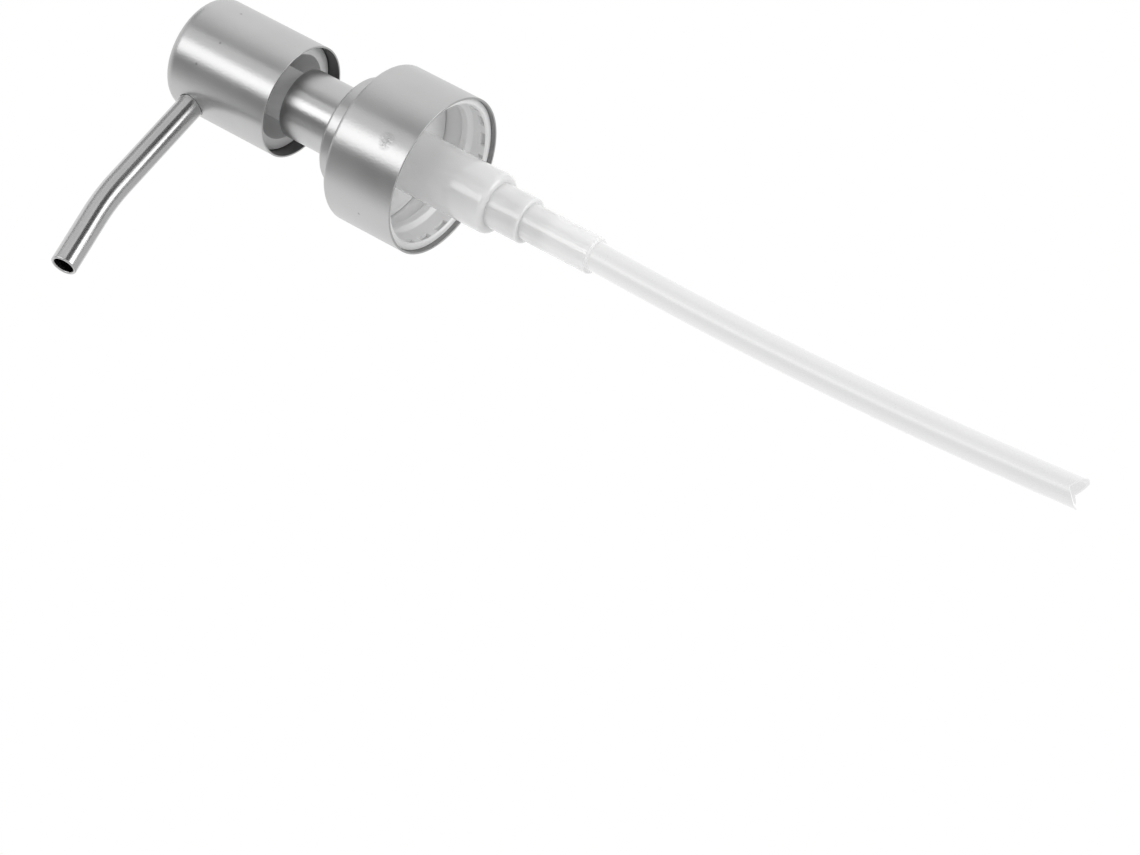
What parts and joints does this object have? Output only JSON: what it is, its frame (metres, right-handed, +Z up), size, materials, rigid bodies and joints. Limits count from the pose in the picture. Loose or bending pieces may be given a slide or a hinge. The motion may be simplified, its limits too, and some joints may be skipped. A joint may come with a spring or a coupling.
{
  "type": "bottle pump dispenser",
  "caption": "Steel press pump with a bent spout, a screw collar for a 28 mm bottle neck, a plastic pump barrel and a long curved dip tube.",
  "frame": {"origin": "on the pump's axis, at the face that seals on the bottle's rim", "axes": "+Z up the pump's axis, +X the way the spout points"},
  "size_m": [0.0699, 0.032, 0.1981],
  "materials": {
    "satin_steel": "satin brushed",
    "neck_steel": "fine brushed, brighter",
    "spout_steel": "drawn tube, satin",
    "white_plastic": "moulded, satin",
    "milky_plastic": "milky, lets light through",
    "tube_plastic": "milky, lets light through",
    "gasket_foam": "fine foam",
    "spring_steel": "drawn wire",
    "ball_steel": "polished"
  },
  "bodies": {
    "pump_body": {"pump_housing": "milky_plastic", "guide_bush": "white_plastic", "neck_sleeve": "neck_steel", "inner_gasket": "gasket_foam", "bottle_gasket": "gasket_foam", "ball_retainer": "white_plastic", "dip_tube": "tube_plastic"},
    "collar": {"collar_shell": "satin_steel", "collar_liner": "white_plastic"},
    "spring": {"return_spring": "spring_steel"},
    "plunger": {"head_shell": "satin_steel", "head_core": "white_plastic", "head_guide_ring": "white_plastic", "spout_tube": "spout_steel", "stem": "white_plastic", "stem_tip": "white_plastic"},
    "piston": {"piston": "milky_plastic"},
    "inlet_ball": {"inlet_ball": "ball_steel"}
  },
  "joints": [
    {"name": "press_stroke", "type": "slide", "parent": "pump_body", "child": "spring", "axis": [0, 0, 1], "range_m": [-0.0125, 0], "stiffness_N_per_m": 900, "springref_m": 0.006, "deforming": ["return_spring"]},
    {"name": "head_swivel", "type": "hinge", "parent": "spring", "child": "plunger", "pos_m": [0, 0, 0], "axis": [0, 0, 1], "continuous": true},
    {"name": "piston_float", "type": "slide", "parent": "plunger", "child": "piston", "axis": [0, 0, 1], "range_m": [0, 0.0012]},
    {"name": "collar_turn", "type": "hinge", "parent": "pump_body", "child": "collar", "pos_m": [0, 0, 0], "axis": [0, 0, 1], "continuous": true},
    {"name": "ball_lift", "type": "slide", "parent": "pump_body", "child": "inlet_ball", "axis": [0, 0, 1], "range_m": [0, 0.002]}
  ]
}
